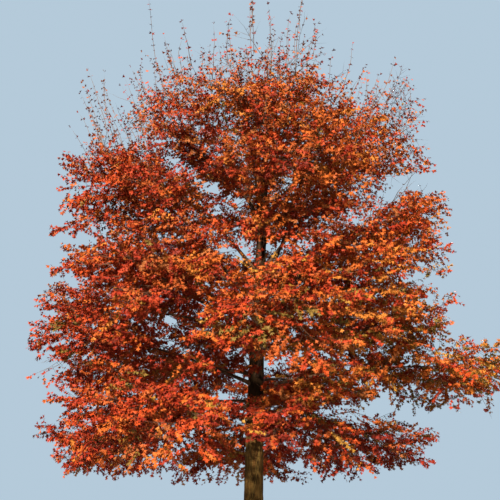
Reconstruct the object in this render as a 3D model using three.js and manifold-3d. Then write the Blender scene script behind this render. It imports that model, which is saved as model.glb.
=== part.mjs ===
// Trident maple in autumn leaf: one trunk with a central leader, boughs that leave it in tiers, and a mass
// of leafy twigs at the end of each bough and on the leader's tip.
// Millimetres, +Z up. The origin is the centre of the flat cut under the trunk, at ground level.
// -Y is the front of the tree and +X its right side. Azimuths run anticlockwise from +X, seen from above.
import * as THREE from "three";
import { mergeVertices } from "three/addons/utils/BufferGeometryUtils.js";
import Module from "manifold-3d";

const wasm = await Module();
wasm.setup();

// The crown's outline: a rounded body, widest at its waist.
const CROWN_MIDDLE = -220; // to the left of the trunk's own middle, all the way up
const CROWN_REACH = 3620;
const CROWN_WAIST = 4950;
const CROWN_RISE = 6090; // from the waist to its closed top
const CROWN_DROP = 4760; // from the waist to where its sides would meet below
const CROWN_ROUNDNESS = 2.28;

// The trunk, which runs on into the leader.
const LEADER_TIP = 8300;
const TRUNK_RADIUS = 158; // at the ground, without the root flare
const LEADER_RADIUS = 22; // at its tip
const TRUNK_TAPER = 1.9;
const FLARE = 96; // how far the roots stand out at the ground
const FLARE_HEIGHT = 240; // over which the flare falls to a third
const ROOTS = 5;
const ROOT_DEPTH = 0.34; // how deep the hollows between the roots are, as a share of the flare
const TRUNK_LEAN = 300; // how far the leader's tip stands to the right of the foot
const TRUNK_SWAY = 45;
const TRUNK_SIDES = 16;
const TRUNK_RINGS = [0, 70, 170, 320, 560, 950, 1600, 2400, 3200, 4100, 5000, 5900, 6800, 7600, LEADER_TIP];

function tierOf(name, sizes) {
  return { name, lift: 0, reach: 1, spray: 1, whips: 0, ...sizes };
}

// Each tier's boughs stand evenly round the trunk, from its first azimuth. base and tip are heights, spread
// is the height that the bases are dealt out over, lift is how much higher the tips are at the front, reach
// makes the limbs longer or shorter, rise is the slope in degrees at the trunk and at the tip, radius is at
// the trunk, spray is the size of its sprays, and whips is how many bare shoots stand on each mass.
const TIERS = [
  tierOf("skirt", {
    count: 5, azimuth: 24, base: 3000, spread: 240, tip: 2380, rise: [14, -22], radius: 26, lift: 560,
    reach: 0.97,
  }),
  tierOf("low", {
    count: 5, azimuth: 355, base: 3420, spread: 300, tip: 3770, rise: [16, -6], radius: 32, lift: 260,
    reach: 1.01,
  }),
  tierOf("middle", {
    count: 5, azimuth: 22, base: 4000, spread: 300, tip: 4900, rise: [30, 6], radius: 35, lift: 120,
    reach: 1.03,
  }),
  tierOf("upper", {
    count: 5, azimuth: 355, base: 4650, spread: 300, tip: 6500, rise: [46, 16], radius: 37, whips: 1,
  }),
  tierOf("high", {
    count: 4, azimuth: 349, base: 5350, spread: 320, tip: 7940, rise: [60, 30], radius: 38, whips: 1,
  }),
  tierOf("top", {
    count: 4, azimuth: 285, base: 6150, spread: 420, tip: 8550, rise: [68, 44], radius: 36, reach: 0.77,
    spray: 0.86, whips: 2,
  }),
];
const FRONT = 285; // azimuth
const TIP_REACH = 0.84; // of the crown's reach at the tip's height, which leaves room for the last sprays
const OWN_REACH = { low_bough_1: 1.22, skirt_bough_5: 0.5 }; // limbs with a reach of their own
const LONG_BOUGH = "low_bough_1"; // its mass may pass the crown's outline

// Boughs
const BOUGH_SHARE = 0.36; // of the way from the trunk to the tip, where a bough enters its mass
const BOUGH_SIDES = 5;
const BOUGH_STEPS = 4;
const BOUGH_END = 0.55; // radius where it enters the mass, as a share of that at the trunk
const COLLAR = 0.45; // how much thicker a bough is at the trunk
const COLLAR_LENGTH = 90;
const GAP = 0.3; // between solids that carry each other
const AZIMUTH_PLAY = 7;
const TIP_PLAY = 150;
const REACH_PLAY = 0.05;
const BEND_PLAY = 13;

// Masses of foliage: a stem, with branches to its left and right in turn.
const STEM_STEPS = 3;
const STEM_START = 0.85; // of the bough's end radius
const STEM_END = 9;
const BRANCHES = 3;
const FIRST_BRANCH = 0.1; // along the stem
const LAST_BRANCH = 0.62;
const BRANCH_ANGLE = 50;
const BRANCH_REACH = [1250, 800]; // the first and last branches' lengths
const BRANCH_TILT = [18, -8, 14]; // above or below the stem's own level
const BRANCH_START = 0.5; // of the stem's radius where it leaves
const BRANCH_END = 5;
const BRANCH_SHORTEST = 0.3; // of the length that a branch would have, or it's left out
const LEADER_STEM = 1500;
const LEADER_BRANCHES = 6;
const LEADER_RISE = 42; // the slope of the branches round the leader's stem
const LEADER_SPRAY = 0.8; // the size of its sprays
const GOLDEN_TURN = 137.5;

// A blade stands for a flat spray of leaves, and has the outline of one leaf: a wedge that opens into three
// lobes which point forward. Its base is sunk in the twig.
const SPRAY_LENGTH = [900, 1160];
const SPRAY_MIDDLE = 0.5; // along its length, where it's thickest
const SPRAY_THICKNESS = 0.024;
const SIDE_LOBE = [0.62, 0.56]; // the tip of a side lobe, along and across, as shares of the length
const NOTCH = [0.8, 0.28]; // between a side lobe and the middle one
const SPRAY_SAG = 0.2; // how far it hangs at its sides, as a share of the distance across
const SPRAY_STEP = 340; // between sprays along a twig
const SPRAY_ANGLE = 58; // from its twig
const SPRAY_ROLL = 45;
const SPRAY_DROOP = [20, 62]; // below its twig, or above it for every second pair
const END_DROOP = 0.4; // how much less the spray at a twig's end droops
const SPRAY_SPACING = 0.45; // between the middles of two sprays, as a share of their length
const SPRAY_TRIES = [
  { turn: 1, droop: 1, size: 1 },
  { turn: 0.7, droop: 0.6, size: 1 },
  { turn: 1, droop: -0.8, size: 0.95 },
  { turn: 1.3, droop: 0.4, size: 0.85 },
  { turn: 0.6, droop: -0.4, size: 0.8 },
  { turn: 1.4, droop: 0.2, size: 0.65 },
  { turn: 0.5, droop: 0.3, size: 0.6 },
];
const LIMB_CLEARANCE = 45;
const SPACE_MARGIN = 20; // that a mass keeps inside its own space
const FLATNESS = 1.5; // how much more height counts than distance when space is shared out
const SAMPLE_STEPS = 4;
const TWIG_SAMPLES = 8;
const TWIG_TESTED_FROM = 0.2; // along it

// Bare upright shoots, each with one small spray
const WHIP_LENGTH = [800, 1150];
const WHIP_RADIUS = 8;
const WHIP_LEAN = 16;
const WHIP_SPRAY = 230;
const WHIP_SPRAY_AT = 0.6; // along it
const LEADER_WHIPS = 3;
const WHIP_START = [0.8, 0.98]; // along its twig

const TRUNK_BARK = new THREE.MeshStandardMaterial({ color: 0x7a5a38, roughness: 0.92, metalness: 0 });
const BOUGH_BARK = new THREE.MeshStandardMaterial({ color: 0x4d3a2a, roughness: 0.9, metalness: 0 });
const FOLIAGE = [0xb4432a, 0xa5382a, 0xc2552c, 0x9a4a2c].map(
  (color) => new THREE.MeshStandardMaterial({ color, roughness: 0.65, metalness: 0 }),
);

const UP = new THREE.Vector3(0, 0, 1);
const radians = THREE.MathUtils.degToRad;
const mix = THREE.MathUtils.lerp;

// Evenly spread numbers from 0 to 1, the same ones each time for one seed.
function seeded(seed) {
  let state = seed >>> 0;
  return () => {
    state = (state + 0x6d2b79f5) >>> 0;
    let bits = Math.imul(state ^ (state >>> 15), state | 1);
    bits ^= bits + Math.imul(bits ^ (bits >>> 7), bits | 61);
    return ((bits ^ (bits >>> 14)) >>> 0) / 4294967296;
  };
}

// A number from -1 to 1.
function swing(random) {
  return 2 * random() - 1;
}

function heading(azimuth, rise) {
  const [a, r] = [radians(azimuth), radians(rise)];
  return new THREE.Vector3(Math.cos(a) * Math.cos(r), Math.sin(a) * Math.cos(r), Math.sin(r));
}

// The horizontal direction to the left of another.
function sideOf(direction) {
  const side = new THREE.Vector3(-direction.y, direction.x, 0);
  return side.length() < 0.001 ? new THREE.Vector3(0, 1, 0) : side.normalize();
}

// A direction turned to its left and then tilted up, by angles in degrees.
function turned(direction, left, up) {
  const top = direction.clone().cross(sideOf(direction));
  const swept = direction.clone().applyAxisAngle(top, radians(left));
  return swept.clone().applyAxisAngle(sideOf(swept), -radians(up));
}

function crownMiddle(height) {
  return CROWN_MIDDLE + TRUNK_LEAN * (height / LEADER_TIP) ** 2;
}

function crownReach(height) {
  const half = height > CROWN_WAIST ? CROWN_RISE : CROWN_DROP;
  const share = Math.min(1, Math.abs(height - CROWN_WAIST) / half);
  return CROWN_REACH * (1 - share ** CROWN_ROUNDNESS) ** (1 / CROWN_ROUNDNESS);
}

// Solids

function solidOf(geometry) {
  const bare = new THREE.BufferGeometry();
  bare.setAttribute("position", geometry.getAttribute("position"));
  bare.setIndex(geometry.getIndex());
  const merged = mergeVertices(bare, 1e-4);
  return new wasm.Manifold(
    new wasm.Mesh({
      numProp: 3,
      vertProperties: merged.attributes.position.array,
      triVerts: new Uint32Array(merged.index.array),
    }),
  );
}

function geometryOf(solid) {
  const mesh = solid.getMesh();
  return new THREE.BufferGeometry()
    .setAttribute("position", new THREE.BufferAttribute(new Float32Array(mesh.vertProperties), 3))
    .setIndex(new THREE.BufferAttribute(new Uint32Array(mesh.triVerts), 1));
}

// The largest piece of a solid, with no loose scrap.
function largestPiece(solid) {
  return solid.decompose().reduce((best, piece) => (piece.volume() > best.volume() ? piece : best));
}

// A closed tube bent from a cylinder. line has points, the aim of the tube at each, and its radii, of which
// the last may be 0 for a pointed end.
function tube(line, sides, grown = 0, ringShape = () => 1) {
  const steps = line.points.length - 1;
  const pointed = line.radii[steps] === 0;
  const cylinder = new THREE.CylinderGeometry(pointed ? 0 : 1, 1, 1, sides, steps);
  const place = cylinder.getAttribute("position");
  for (let i = 0; i < place.count; i += 1) {
    const ring = Math.round((0.5 + place.getY(i)) * steps);
    const side = sideOf(line.aims[ring]);
    const top = side.clone().cross(line.aims[ring]);
    const angle = Math.atan2(place.getZ(i), place.getX(i));
    const onRim = Math.hypot(place.getX(i), place.getZ(i)) > 1e-6;
    const radius = onRim ? line.radii[ring] * ringShape(line.points[ring].z, angle) + grown : 0;
    const at = line.points[ring].clone();
    at.addScaledVector(side, radius * Math.cos(angle)).addScaledVector(top, radius * Math.sin(angle));
    place.setXYZ(i, at.x, at.y, at.z);
  }
  return solidOf(cylinder);
}

// The part of a curve from one share of it to another, as a line for a tube.
function lineAlong(curve, from, to, steps, radiusAt) {
  const line = { points: [], aims: [], radii: [] };
  for (let step = 0; step <= steps; step += 1) {
    const share = mix(from, to, step / steps);
    line.points.push(curve.getPoint(share));
    line.aims.push(curve.getTangent(share));
    line.radii.push(radiusAt(step / steps, line.points[step]));
  }
  return line;
}

// Trunk

function trunkCentre(height) {
  const share = height / LEADER_TIP;
  const sway = TRUNK_SWAY * Math.sin(Math.PI * 2 * share) * share;
  return new THREE.Vector3(TRUNK_LEAN * share ** 2, sway, height);
}

function trunkRadius(height) {
  return mix(TRUNK_RADIUS, LEADER_RADIUS, (height / LEADER_TIP) ** TRUNK_TAPER);
}

// How far the root flare widens the trunk, which stands out in ROOTS ridges.
function flareAt(height, angle) {
  const flare = (FLARE / TRUNK_RADIUS) * Math.exp(-height / FLARE_HEIGHT);
  return 1 + flare * (1 + ROOT_DEPTH * Math.cos(ROOTS * angle));
}

function trunkSolid(grown) {
  const points = TRUNK_RINGS.map(trunkCentre);
  const line = { points, aims: points.map(() => UP), radii: TRUNK_RINGS.map(trunkRadius) };
  return tube(line, TRUNK_SIDES, grown, flareAt);
}

// Limbs: each is one curve from the trunk's middle to its tip near the crown's outline. The bough is the
// first part of it, and the stem of the bough's mass is the rest.

function limbsOf(tier, tierIndex) {
  return Array.from({ length: tier.count }, (_, index) => {
    const random = seeded(1000 * (tierIndex + 1) + index);
    const azimuth = tier.azimuth + (360 / tier.count) * index + AZIMUTH_PLAY * swing(random);
    const lift = tier.lift * Math.max(0, Math.cos(radians(azimuth - FRONT)));
    const tipHeight = tier.tip + lift + TIP_PLAY * swing(random);
    const name = `${tier.name}_bough_${index + 1}`;
    const share = OWN_REACH[name] ?? tier.reach * (TIP_REACH + REACH_PLAY * swing(random));
    const bend = BEND_PLAY * swing(random);
    const start = trunkCentre(tier.base + tier.spread * (((index * 2) % tier.count) / tier.count));
    const end = heading(azimuth, 0).multiplyScalar(share * crownReach(tipHeight)).setZ(tipHeight);
    end.x += crownMiddle(tipHeight);
    const third = start.distanceTo(end) / 3;
    const curve = new THREE.CubicBezierCurve3(
      start,
      start.clone().addScaledVector(heading(azimuth - bend, tier.rise[0]), third),
      end.clone().addScaledVector(heading(azimuth + bend, tier.rise[1]), -third),
      end,
    );
    const limb = { name, tier, long: name === LONG_BOUGH, curve };
    limb.line = lineAlong(curve, 0, BOUGH_SHARE, BOUGH_STEPS, (step, point) => {
      const out = Math.max(0, point.distanceTo(start) - trunkRadius(point.z));
      return tier.radius * mix(1, BOUGH_END, step) * (1 + COLLAR * Math.exp(-out / COLLAR_LENGTH));
    });
    return limb;
  });
}

// Space

// The distance from a point to a line, with heights stretched.
function distanceTo(point, line, stretch) {
  const scale = new THREE.Vector3(1, 1, stretch);
  const at = point.clone().multiply(scale);
  const closest = new THREE.Vector3();
  let best = Infinity;
  for (let i = 1; i < line.length; i += 1) {
    const segment = new THREE.Line3(line[i - 1].clone().multiply(scale), line[i].clone().multiply(scale));
    segment.closestPointToPoint(at, true, closest);
    best = Math.min(best, closest.distanceTo(at));
  }
  return best;
}

// True inside the crown's outline, which the long bough's mass may pass.
function inCrown(point, mass) {
  return mass.long || Math.hypot(point.x - crownMiddle(point.z), point.y) < crownReach(point.z);
}

// Whips may stand out of the crown.
function anywhere() {
  return true;
}

function clearOfTrunk(point) {
  const centre = trunkCentre(point.z);
  const away = Math.hypot(point.x - centre.x, point.y - centre.y) - trunkRadius(point.z);
  return point.z > LEADER_TIP || away > LIMB_CLEARANCE;
}

function clearOfLimbs(point, limbs) {
  return limbs.every((limb) => distanceTo(point, limb.line.points, 1) > limb.tier.radius + LIMB_CLEARANCE);
}

// True where a mass's own stem is nearer than any other, by the margin on both sides.
function inOwnSpace(point, mass, masses) {
  const own = distanceTo(point, mass.axis, FLATNESS) + 2 * SPACE_MARGIN;
  return masses.every((other) => other === mass || distanceTo(point, other.axis, FLATNESS) > own);
}

function fits(points, mass, tree, reachable) {
  return points.every(
    (point) =>
      reachable(point, mass) &&
      clearOfTrunk(point) &&
      clearOfLimbs(point, tree.limbs) &&
      inOwnSpace(point, mass, tree.masses),
  );
}

// Twigs and sprays: a twig is a line of points.

function pointOn(twig, share) {
  const at = share * (twig.length - 1);
  const i = Math.min(Math.floor(at), twig.length - 2);
  return twig[i].clone().lerp(twig[i + 1], at - i);
}

function aimOn(twig, share) {
  const i = Math.min(Math.floor(share * (twig.length - 1)), twig.length - 2);
  return twig[i + 1].clone().sub(twig[i]).normalize();
}

function lengthOf(twig) {
  return twig.slice(1).reduce((sum, point, i) => sum + point.distanceTo(twig[i]), 0);
}

function straightTwig(start, direction, length) {
  return [start, start.clone().addScaledVector(direction, length)];
}

function straightTube(twig, startRadius, endRadius) {
  const aim = aimOn(twig, 0);
  return tube({ points: twig, aims: [aim, aim], radii: [startRadius, endRadius] }, 3);
}

function twigFits(twig, mass, tree, reachable) {
  const points = Array.from({ length: TWIG_SAMPLES }, (_, i) =>
    pointOn(twig, mix(TWIG_TESTED_FROM, 1, i / (TWIG_SAMPLES - 1))),
  );
  return fits(points, mass, tree, reachable);
}

// The longest twig, up to a length, that keeps to its mass's space, or null where it would be too short.
function twigThatFits(start, direction, length, mass, tree) {
  for (let tried = length; tried > BRANCH_SHORTEST * length; tried -= length / 12) {
    const twig = straightTwig(start, direction, tried);
    if (twigFits(twig, mass, tree, inCrown)) return twig;
  }
  return null;
}

// Where a spray lies: its base, and the directions along it, across it and out of its face.
function sprayPose(base, along, roll, length) {
  const across = sideOf(along).applyAxisAngle(along, radians(roll));
  const out = along.clone().cross(across);
  return { base: base.clone(), along, across, out, length };
}

// A point of a spray, in shares of its length.
function onSpray(pose, along, across, out) {
  return pose.base
    .clone()
    .addScaledVector(pose.along, along * pose.length)
    .addScaledVector(pose.across, across * pose.length)
    .addScaledVector(pose.out, out * pose.length);
}

function sprayMiddle(pose) {
  return onSpray(pose, SPRAY_MIDDLE, 0, 0);
}

// The corners of a spray's outline, from its base round by its right side.
function sprayRim(pose) {
  const half = [SIDE_LOBE, NOTCH];
  const corner = (along, across) => onSpray(pose, along, across, -SPRAY_SAG * Math.abs(across));
  return [
    corner(0, 0),
    ...half.map(([along, across]) => corner(along, -across)),
    corner(1, 0),
    ...half.reverse().map(([along, across]) => corner(along, across)),
  ];
}

// A sphere of six slices and two rows, whose equator is drawn out into the spray's outline.
function spraySolid(pose) {
  const rim = sprayRim(pose);
  const blade = new THREE.SphereGeometry(1, rim.length, 2);
  const place = blade.getAttribute("position");
  for (let i = 0; i < place.count; i += 1) {
    const side = Math.round(place.getY(i));
    const corner = rim[(i % (rim.length + 1)) % rim.length];
    const apex = onSpray(pose, SPRAY_MIDDLE, 0, (side * SPRAY_THICKNESS) / 2);
    const at = side === 0 ? corner : apex;
    place.setXYZ(i, at.x, at.y, at.z);
  }
  return solidOf(blade);
}

// Points spread over a spray, to test it by.
function spraySamples(pose) {
  const middle = sprayMiddle(pose);
  const rim = sprayRim(pose);
  const samples = [middle];
  rim.forEach((corner, i) => {
    const next = rim[(i + 1) % rim.length];
    for (let ring = 1; ring <= SAMPLE_STEPS; ring += 1) {
      for (let step = 0; step < ring; step += 1) {
        samples.push(middle.clone().lerp(corner.clone().lerp(next, step / ring), ring / SAMPLE_STEPS));
      }
    }
  });
  return samples.filter((point) => point.distanceTo(pose.base) > LIMB_CLEARANCE);
}

function crowded(pose, sprays) {
  const middle = sprayMiddle(pose);
  return sprays.some((other) => sprayMiddle(other).distanceTo(middle) < SPRAY_SPACING * other.length);
}

// Sprays along a twig, from its end back, to its left and right in turn.
function addSprays(twig, mass, tree) {
  const { random, sprays } = mass;
  const count = twig === mass.upright ? 1 : Math.max(1, Math.round(lengthOf(twig) / SPRAY_STEP));
  for (let i = 0; i < count; i += 1) {
    const share = i === 0 ? 0.99 : 1 - (i - 0.25) / count;
    const side = i === 0 ? 12 * swing(random) : (i % 2 ? 1 : -1) * (SPRAY_ANGLE + 8 * swing(random));
    const fall = i === 0 ? END_DROOP : [1, -1][Math.floor(i / 2) % 2];
    const droop = fall * mix(...SPRAY_DROOP, random());
    const size = mass.spray * mix(...SPRAY_LENGTH, random());
    const roll = SPRAY_ROLL * swing(random);
    const found = SPRAY_TRIES.map((tried) => {
      const along = turned(aimOn(twig, share), side * tried.turn, -droop * tried.droop);
      return sprayPose(pointOn(twig, share), along, roll, size * tried.size);
    }).find((pose) => !crowded(pose, sprays) && fits(spraySamples(pose), mass, tree, inCrown));
    if (found) sprays.push(found);
  }
}

// Masses

function massesOf(limbs) {
  const masses = limbs.map((limb, order) => ({
    name: limb.name.replace("bough", "foliage"),
    curve: limb.curve,
    from: BOUGH_SHARE,
    radius: limb.tier.radius * BOUGH_END * STEM_START,
    long: limb.long,
    spray: limb.tier.spray,
    whips: limb.tier.whips,
    random: seeded(90000 + order),
  }));
  const tip = trunkCentre(LEADER_TIP);
  masses.push({
    name: "leader_foliage",
    curve: new THREE.LineCurve3(tip, tip.clone().addScaledVector(UP, LEADER_STEM)),
    from: 0,
    radius: LEADER_RADIUS * STEM_START,
    isLeader: true,
    spray: LEADER_SPRAY,
    whips: LEADER_WHIPS,
    random: seeded(99999),
  });
  masses.forEach((mass) => {
    mass.axis = [0, 0.5, 1].map((step) => mass.curve.getPoint(mix(mass.from, 1, step)));
    mass.sprays = [];
  });
  return masses;
}

// A mass's stem, as a line for a tube, which starts a gap past the bough's end.
function stemOf(mass) {
  const line = lineAlong(mass.curve, mass.from, 1, STEM_STEPS, (step) => mix(mass.radius, STEM_END, step));
  line.points[0].addScaledVector(line.aims[0], GAP);
  return line;
}

// The branches of a mass's stem: left and right in turn, or all round the leader's upright stem.
function branchesOf(mass, stem, tree) {
  const count = mass.isLeader ? LEADER_BRANCHES : BRANCHES;
  const branches = [];
  for (let i = 0; i < count; i += 1) {
    const step = i / (count - 1);
    const share = mix(FIRST_BRANCH, LAST_BRANCH, step);
    const turn = (i % 2 ? 1 : -1) * (BRANCH_ANGLE + 6 * swing(mass.random));
    const direction = mass.isLeader
      ? heading(GOLDEN_TURN * i, LEADER_RISE)
      : turned(aimOn(stem, share), turn, BRANCH_TILT[i]);
    const points = twigThatFits(pointOn(stem, share), direction, mix(...BRANCH_REACH, step), mass, tree);
    if (points) branches.push({ points, thick: BRANCH_START * mix(mass.radius, STEM_END, share) });
  }
  return branches;
}

// Upright shoots from the outer part of a mass's twigs, each with one small spray.
function whipsOf(mass, twigs, tree) {
  const whips = [];
  for (let i = 0; i < mass.whips; i += 1) {
    const base = pointOn(twigs[i % twigs.length], mix(...WHIP_START, mass.random()));
    const outward = THREE.MathUtils.radToDeg(Math.atan2(base.y, base.x)) + 25 * swing(mass.random);
    const direction = heading(outward, 90 - WHIP_LEAN * (0.5 + mass.random()));
    const points = straightTwig(base, direction, mix(...WHIP_LENGTH, mass.random()));
    const along = turned(direction, 90 * swing(mass.random), -50);
    const spray = sprayPose(pointOn(points, WHIP_SPRAY_AT), along, 0, WHIP_SPRAY);
    if (twigFits(points, mass, tree, anywhere)) whips.push({ points, spray });
  }
  return whips;
}

function massSolid(mass, tree) {
  const stemLine = stemOf(mass);
  const stem = stemLine.points;
  mass.upright = mass.isLeader ? stem : null;
  const branches = branchesOf(mass, stem, tree);
  const twigs = [stem, ...branches.map((branch) => branch.points)];
  twigs.forEach((twig) => addSprays(twig, mass, tree));
  const whips = whipsOf(mass, twigs, tree);
  const solids = [
    tube(stemLine, 3),
    ...branches.map((branch) => straightTube(branch.points, branch.thick, BRANCH_END)),
    ...whips.map((whip) => straightTube(whip.points, WHIP_RADIUS, 0)),
    ...mass.sprays.map(spraySolid),
    ...whips.map((whip) => spraySolid(whip.spray)),
  ];
  return largestPiece(wasm.Manifold.union(solids));
}

// The whole tree

function meshOf(name, solid, material) {
  const mesh = new THREE.Mesh(geometryOf(solid), material);
  mesh.name = name;
  return mesh;
}

const tree = new THREE.Group();
tree.add(meshOf("trunk", trunkSolid(0), TRUNK_BARK));

const limbs = TIERS.flatMap(limbsOf);
const masses = massesOf(limbs);

// A bough is cut to the surface of what it leaves, a gap away.
let taken = trunkSolid(GAP);
limbs.forEach((limb) => {
  tree.add(meshOf(limb.name, largestPiece(tube(limb.line, BOUGH_SIDES).subtract(taken)), BOUGH_BARK));
  taken = taken.add(tube(limb.line, BOUGH_SIDES, GAP));
});

masses.forEach((mass, i) => {
  tree.add(meshOf(mass.name, massSolid(mass, { limbs, masses }), FOLIAGE[i % FOLIAGE.length]));
});

export default tree;
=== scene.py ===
# Trident maple in autumn leaf: bark with its relief on the trunk and boughs, and on the stem of each mass the
# twigs and leaves that the solids stand for.
# Millimetres and degrees until a mesh is made. -Y is the front of the tree and +X its right side.
import math
from types import SimpleNamespace

import bpy
import numpy as np
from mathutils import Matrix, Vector


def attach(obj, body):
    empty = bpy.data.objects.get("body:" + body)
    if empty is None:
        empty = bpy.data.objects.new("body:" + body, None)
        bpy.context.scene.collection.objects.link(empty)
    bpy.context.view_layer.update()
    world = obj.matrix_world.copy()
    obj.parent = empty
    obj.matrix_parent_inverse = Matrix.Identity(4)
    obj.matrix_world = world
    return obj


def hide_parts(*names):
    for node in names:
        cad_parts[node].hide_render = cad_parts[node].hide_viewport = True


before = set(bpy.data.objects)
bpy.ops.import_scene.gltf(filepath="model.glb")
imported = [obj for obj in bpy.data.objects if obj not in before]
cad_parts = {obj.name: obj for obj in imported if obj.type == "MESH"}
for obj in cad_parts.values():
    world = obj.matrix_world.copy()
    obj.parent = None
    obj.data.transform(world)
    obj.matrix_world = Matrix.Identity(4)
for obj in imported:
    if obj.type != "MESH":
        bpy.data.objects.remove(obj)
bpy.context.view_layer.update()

MM = 0.001
UP = np.array([0, 0, 1.0])
LEVEL = np.array([1, 1, 0])
EYE = (-45, -11700, 1600)  # where the photo is seen from

# The source's own sizes, which its rule below repeats. The crown is a rounded body, widest at its waist.
CROWN_MIDDLE = -220
CROWN_REACH = 3620
CROWN_WAIST = 4950
CROWN_RISE = 6090  # from the waist to its closed top
CROWN_DROP = 4760  # from the waist to where its sides would meet below
CROWN_ROUNDNESS = 2.28

# The trunk, which runs on into the leader
LEADER_TIP = 8300
TRUNK_RADIUS = 158  # without the flare
LEADER_RADIUS = 22
TRUNK_TAPER = 1.9
FLARE = 96
FLARE_HEIGHT = 240
ROOTS = 5
ROOT_DEPTH = 0.34
TRUNK_LEAN = 300
TRUNK_SWAY = 45


def tier_of(name, **sizes):
    return SimpleNamespace(**{"name": name, "lift": 0, "reach": 1, "spray": 1, "whips": 0, **sizes})


# A tier's boughs stand evenly round the trunk. base and tip are heights, spread is the height that the bases
# are dealt out over, lift is how much higher the tips are at the front, rise is the slope at the trunk and at
# the tip, and whips is how many of them stand on each mass.
TIERS = [
    tier_of("skirt", count=5, azimuth=24, base=3000, spread=240, tip=2380, rise=(14, -22), radius=26,
            lift=560, reach=0.97),
    tier_of("low", count=5, azimuth=355, base=3420, spread=300, tip=3770, rise=(16, -6), radius=32,
            lift=260, reach=1.01),
    tier_of("middle", count=5, azimuth=22, base=4000, spread=300, tip=4900, rise=(30, 6), radius=35,
            lift=120, reach=1.03),
    tier_of("upper", count=5, azimuth=355, base=4650, spread=300, tip=6500, rise=(46, 16), radius=37,
            whips=1),
    tier_of("high", count=4, azimuth=349, base=5350, spread=320, tip=7940, rise=(60, 30), radius=38,
            whips=1),
    tier_of("top", count=4, azimuth=285, base=6150, spread=420, tip=8550, rise=(68, 44), radius=36,
            reach=0.77, spray=0.86, whips=2),
]
FRONT = 285  # azimuth
TIP_REACH = 0.84
OWN_REACH = {"low_bough_1": 1.22, "skirt_bough_5": 0.5}
LONG_BOUGH = "low_bough_1"  # its mass may pass the crown's outline
BOUGH_SHARE = 0.36  # of the way to the tip, where a bough enters its mass
BOUGH_STEPS = 4
BOUGH_END = 0.55
COLLAR = 0.45  # how much thicker a bough is at the trunk
COLLAR_LENGTH = 90
GAP = 0.3  # between solids that carry each other
LIMB_SEED = 1000
MASS_SEED = 90000
LEADER_SEED = 99999
AZIMUTH_PLAY = 7
TIP_PLAY = 150
REACH_PLAY = 0.05
BEND_PLAY = 13

# Stems, and their branches to the left and right in turn
STEM_STEPS = 3
STEM_START = 0.85  # of the bough's end radius
STEM_END = 9
BRANCHES = 3
BRANCH_FROM = (0.1, 0.62)  # along the stem
BRANCH_ANGLE = 50
BRANCH_PLAY = 6
BRANCH_REACH = (1250, 800)
BRANCH_TILT = (18, -8, 14)
BRANCH_START = 0.5
BRANCH_END = 5
BRANCH_SHORTEST = 0.3
BRANCH_CUTS = 12  # a branch that doesn't fit is shortened by a twelfth at a time
LEADER_STEM = 1500
LEADER_BRANCHES = 6
LEADER_RISE = 42
LEADER_SPRAY = 0.8
GOLDEN_TURN = 137.5

# Sprays
SPRAY_LENGTH = (900, 1160)
SPRAY_MIDDLE = 0.5
SPRAY_RIM = [(0, 0), (0.62, -0.56), (0.8, -0.28), (1, 0), (0.8, 0.28), (0.62, 0.56)]  # along and across
SPRAY_SAG = 0.2
SPRAY_STEP = 340
SPRAY_SHIFT = 0.25
SPRAY_ANGLE = 58
SPRAY_PLAY = 8
SPRAY_ROLL = 45
SPRAY_DROOP = (20, 62)
END_SPRAY_AT = 0.99
END_PLAY = 12
END_DROOP = 0.4
SPRAY_SPACING = 0.45
SPRAY_TRIES = [  # turn, droop and size
    (1, 1, 1), (0.7, 0.6, 1), (1, -0.8, 0.95), (1.3, 0.4, 0.85), (0.6, -0.4, 0.8), (1.4, 0.2, 0.65),
    (0.5, 0.3, 0.6),
]
LIMB_CLEARANCE = 45
SPACE_MARGIN = 20  # that a mass keeps inside its own space
FLATNESS = 1.5  # how much more height counts than distance when space is shared out
SAMPLE_STEPS = 4
TWIG_SAMPLES = 8
TWIG_TESTED_FROM = 0.2

# Whips, the long shoots that the source has too
WHIP_LENGTH = (800, 1150)
WHIP_LEAN = 16
WHIP_LEAN_LEAST = 0.5
WHIP_START = (0.8, 0.98)
LEADER_WHIPS = 3
OUTWARD_PLAY = 25

# Finer branches round a stem, and finer sprays, which fill what the source's sprays leave free
FINE_SEED = 50000
FINE_BRANCHES = 12
OPEN_BRANCHES = 9  # where the crown is open
OPEN_TIERS = ("top", "leader")
FINE_BRANCH_FROM = (0.1, 0.9)  # along the stem
FINE_BRANCH_ANGLE = 48
FINE_BRANCH_LENGTH = (1500, 800)
SIDE_BRANCHES = 4
SIDE_BRANCH_FROM = (0.5, 0.95)
SIDE_BRANCH_ANGLE = 66
INNER_BRANCHES = 6
INNER_BRANCH_FROM = (0.02, 0.2)
INNER_BRANCH_ANGLE = 122
AROUND_PLAY = 20
LEAN_PLAY = 12
BARE_TIP = 0.5  # how bare a place may be for a finer branch to end in it
FINE_BRANCH_RADII = (5.5, 3.5)
FINE_STEP = 330
FINE_SIZE = 0.62
FINE_SPACING = 0.36
FINE_SLOPE = 0.45  # of the source's droop and roll
FILL_STEP = 140
UPRIGHT = {"upper": 0.1, "high": 0.35, "top": 0.3, "leader": 0.6}  # how far the finer growth turns upwards
UPRIGHT_RISE = 30  # how far its sprays rise where it turns up by 1

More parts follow.
